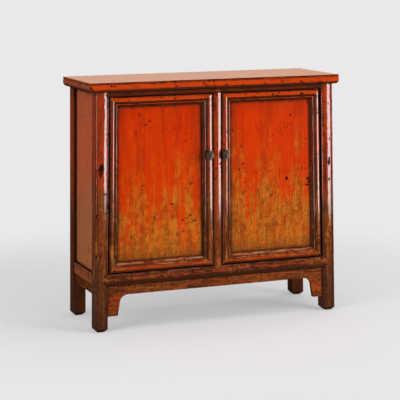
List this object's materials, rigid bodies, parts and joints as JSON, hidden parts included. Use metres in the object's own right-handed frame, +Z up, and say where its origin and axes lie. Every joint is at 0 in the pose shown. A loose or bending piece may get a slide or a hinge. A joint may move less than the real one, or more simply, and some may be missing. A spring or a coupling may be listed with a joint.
{
  "type": "kang cabinet",
  "caption": "Low red-lacquered cabinet with leaning posts, an overhanging frame-and-panel top, swinging panel doors with faceted iron knobs, an inner shelf and short aprons between the feet.",
  "frame": {"origin": "on the floor under the middle of the cabinet, at the bottom centre of its bounding box", "axes": "+X to the right of someone facing the doors, along the long side; +Y to the back, away from the doors; +Z up"},
  "size_m": [0.964, 0.3577, 0.9],
  "materials": {
    "post_lacquer": "aged gloss lacquer",
    "top_lacquer": "aged gloss lacquer",
    "rail_lacquer": "aged gloss lacquer",
    "side_lacquer": "aged satin lacquer",
    "door_frame_lacquer": "aged gloss lacquer",
    "door_panel_lacquer": "polished gloss lacquer",
    "bare_wood": "unfinished aged softwood",
    "iron": "dark patinated wrought iron"
  },
  "bodies": {
    "carcass": {"post_front_left": "post_lacquer", "post_front_right": "post_lacquer", "post_back_left": "post_lacquer", "post_back_right": "post_lacquer", "top_frame_front": "top_lacquer", "top_frame_back": "top_lacquer", "top_frame_left": "top_lacquer", "top_frame_right": "top_lacquer", "top_panel": "top_lacquer", "head_rail_front": "rail_lacquer", "base_rail_front": "rail_lacquer", "center_post": "rail_lacquer", "apron_front": "rail_lacquer", "apron_head_left": "rail_lacquer", "apron_head_right": "rail_lacquer", "base_rail_left": "side_lacquer", "base_rail_right": "side_lacquer", "side_panel_left": "side_lacquer", "side_panel_right": "side_lacquer", "apron_left": "side_lacquer", "apron_right": "side_lacquer", "head_rail_back": "bare_wood", "base_rail_back": "bare_wood", "back_mullion": "bare_wood", "back_panel_left": "bare_wood", "back_panel_right": "bare_wood", "apron_back": "bare_wood", "floor_panel": "bare_wood", "shelf": "bare_wood", "shelf_bearer_left": "bare_wood", "shelf_bearer_right": "bare_wood", "top_batten_left": "bare_wood", "top_batten_right": "bare_wood"},
    "door_left": {"door_left_hinge_stile": "door_frame_lacquer", "door_left_lock_stile": "door_frame_lacquer", "door_left_top_rail": "door_frame_lacquer", "door_left_bottom_rail": "door_frame_lacquer", "door_left_panel": "door_panel_lacquer", "door_left_upper_batten": "bare_wood", "door_left_lower_batten": "bare_wood", "door_left_knob_plate": "iron", "door_left_knob": "iron", "door_left_knob_washer": "iron"},
    "door_right": {"door_right_hinge_stile": "door_frame_lacquer", "door_right_lock_stile": "door_frame_lacquer", "door_right_top_rail": "door_frame_lacquer", "door_right_bottom_rail": "door_frame_lacquer", "door_right_panel": "door_panel_lacquer", "door_right_upper_batten": "bare_wood", "door_right_lower_batten": "bare_wood", "door_right_knob_plate": "iron", "door_right_knob": "iron", "door_right_knob_washer": "iron"}
  },
  "joints": [
    {"name": "door_left_swing", "type": "hinge", "parent": "carcass", "child": "door_left", "pos_m": [-0.40316, -0.149, 0.53], "axis": [-0.0214, 0, -0.9998], "range_deg": [0, 95]},
    {"name": "door_right_swing", "type": "hinge", "parent": "carcass", "child": "door_right", "pos_m": [0.40316, -0.149, 0.53], "axis": [-0.0214, 0, 0.9998], "range_deg": [0, 95]}
  ]
}
